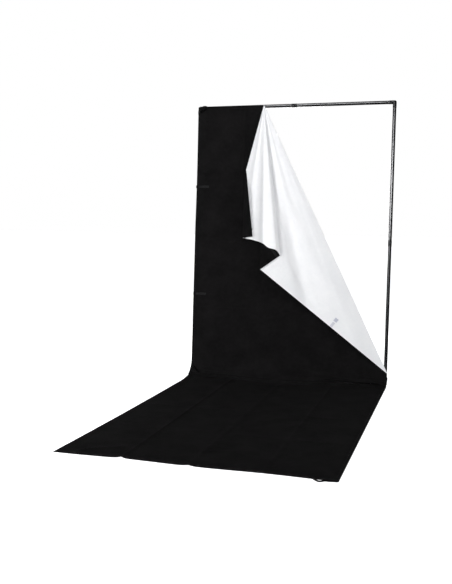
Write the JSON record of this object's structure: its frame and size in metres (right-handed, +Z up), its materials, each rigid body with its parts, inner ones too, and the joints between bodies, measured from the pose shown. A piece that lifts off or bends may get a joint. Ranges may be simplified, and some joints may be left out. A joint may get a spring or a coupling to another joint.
{
  "type": "collapsible backdrop panel",
  "caption": "Leaning fold-up tube frame with a reversible black and white cloth hung on its front, one corner folded forward, and a long cloth sweep over the floor.",
  "frame": {"origin": "on the floor under the middle of the frame, where the posts' centre plane meets the floor", "axes": "+X to the right seen from the front, -Y the front, towards which the sweep runs, +Z up"},
  "size_m": [1.5034, 2.3497, 2.0592],
  "materials": {
    "tube_black": "gloss black coating on round tube",
    "moulded_plastic": "semi-gloss moulded black",
    "button_steel": "blackened steel nose",
    "fastener_steel": "darkened steel",
    "ferrule_alloy": "plain drawn",
    "cloth_black_white": "matt black woven face, satin white reverse",
    "elastic": "ribbed woven elastic",
    "tab_webbing": "hook-and-loop tape"
  },
  "bodies": {
    "lower_frame": {"bar_collars_bottom": "moulded_plastic", "bar_tube_bottom_left": "tube_black", "bar_tube_bottom_right": "tube_black", "cloth_panel_lower": "cloth_black_white", "corner_bottom_left": "moulded_plastic", "corner_bottom_right": "moulded_plastic", "corner_loop_bottom_left": "elastic", "corner_loop_bottom_right": "elastic", "ferrule_bottom": "ferrule_alloy", "hinge_leaf_lower_left": "moulded_plastic", "hinge_leaf_lower_right": "moulded_plastic", "hinge_pins": "fastener_steel", "leaf_springs_lower": "fastener_steel", "post_tube_lower_left": "tube_black", "post_tube_lower_right": "tube_black", "rivets_lower": "fastener_steel", "side_tab_lower": "tab_webbing"},
    "upper_frame": {"bar_collars_top": "moulded_plastic", "bar_tube_top_left": "tube_black", "bar_tube_top_right": "tube_black", "cloth_panel_upper": "cloth_black_white", "corner_loop_top_left": "elastic", "corner_top_left": "moulded_plastic", "corner_top_right": "moulded_plastic", "ferrule_top": "ferrule_alloy", "hinge_leaf_upper_left": "moulded_plastic", "hinge_leaf_upper_right": "moulded_plastic", "leaf_springs_upper": "fastener_steel", "post_tube_upper_left": "tube_black", "post_tube_upper_right": "tube_black", "rivets_upper": "fastener_steel", "side_tab_upper": "tab_webbing"},
    "flap": {"cloth_flap": "cloth_black_white", "corner_loop_flap": "elastic", "side_tabs_flap": "tab_webbing"},
    "sweep": {"cloth_sweep": "cloth_black_white", "corner_loop_front_left": "elastic", "corner_loop_front_right": "elastic"},
    "hinge_release_left": {"hinge_release_left": "button_steel"},
    "hinge_release_right": {"hinge_release_right": "button_steel"},
    "snap_button_bottom_left": {"snap_button_bottom_left": "button_steel"},
    "snap_button_bottom_middle": {"snap_button_bottom_middle": "button_steel"},
    "snap_button_bottom_right": {"snap_button_bottom_right": "button_steel"},
    "snap_button_top_left": {"snap_button_top_left": "button_steel"},
    "snap_button_top_middle": {"snap_button_top_middle": "button_steel"},
    "snap_button_top_right": {"snap_button_top_right": "button_steel"}
  },
  "joints": [
    {"name": "frame_fold", "type": "hinge", "parent": "lower_frame", "child": "upper_frame", "pos_m": [0, 0.10264, 1.03203], "axis": [-1, 0, 0], "range_deg": [0, 180]},
    {"name": "flap_open", "type": "hinge", "parent": "lower_frame", "child": "flap", "pos_m": [0.75, -0.01083, 0.09609], "axis": [-0.4465, 0.0711, 0.892], "range_deg": [0, 150]},
    {"name": "sweep_lift", "type": "hinge", "parent": "lower_frame", "child": "sweep", "pos_m": [0, -0.022, 0.0025], "axis": [-1, 0, 0], "range_deg": [0, 80]},
    {"name": "hinge_release_left_press", "type": "slide", "parent": "lower_frame", "child": "hinge_release_left", "axis": [0, -0.9968, 0.0795], "range_m": [0, 0.0025], "stiffness_N_per_m": 300, "springref_m": -0.002},
    {"name": "hinge_release_right_press", "type": "slide", "parent": "lower_frame", "child": "hinge_release_right", "axis": [0, -0.9968, 0.0795], "range_m": [0, 0.0025], "stiffness_N_per_m": 300, "springref_m": -0.002},
    {"name": "snap_button_bottom_left_press", "type": "slide", "parent": "lower_frame", "child": "snap_button_bottom_left", "axis": [0, -0.9968, 0.0795], "range_m": [0, 0.0025], "stiffness_N_per_m": 300, "springref_m": -0.002},
    {"name": "snap_button_bottom_middle_press", "type": "slide", "parent": "lower_frame", "child": "snap_button_bottom_middle", "axis": [0, -0.0795, -0.9968], "range_m": [0, 0.0025], "stiffness_N_per_m": 300, "springref_m": -0.002},
    {"name": "snap_button_bottom_right_press", "type": "slide", "parent": "lower_frame", "child": "snap_button_bottom_right", "axis": [0, -0.9968, 0.0795], "range_m": [0, 0.0025], "stiffness_N_per_m": 300, "springref_m": -0.002},
    {"name": "snap_button_top_left_press", "type": "slide", "parent": "upper_frame", "child": "snap_button_top_left", "axis": [0, -0.9968, 0.0795], "range_m": [0, 0.0025], "stiffness_N_per_m": 300, "springref_m": -0.002},
    {"name": "snap_button_top_middle_press", "type": "slide", "parent": "upper_frame", "child": "snap_button_top_middle", "axis": [0, 0.0795, 0.9968], "range_m": [0, 0.0025], "stiffness_N_per_m": 300, "springref_m": -0.002},
    {"name": "snap_button_top_right_press", "type": "slide", "parent": "upper_frame", "child": "snap_button_top_right", "axis": [0, -0.9968, 0.0795], "range_m": [0, 0.0025], "stiffness_N_per_m": 300, "springref_m": -0.002}
  ]
}
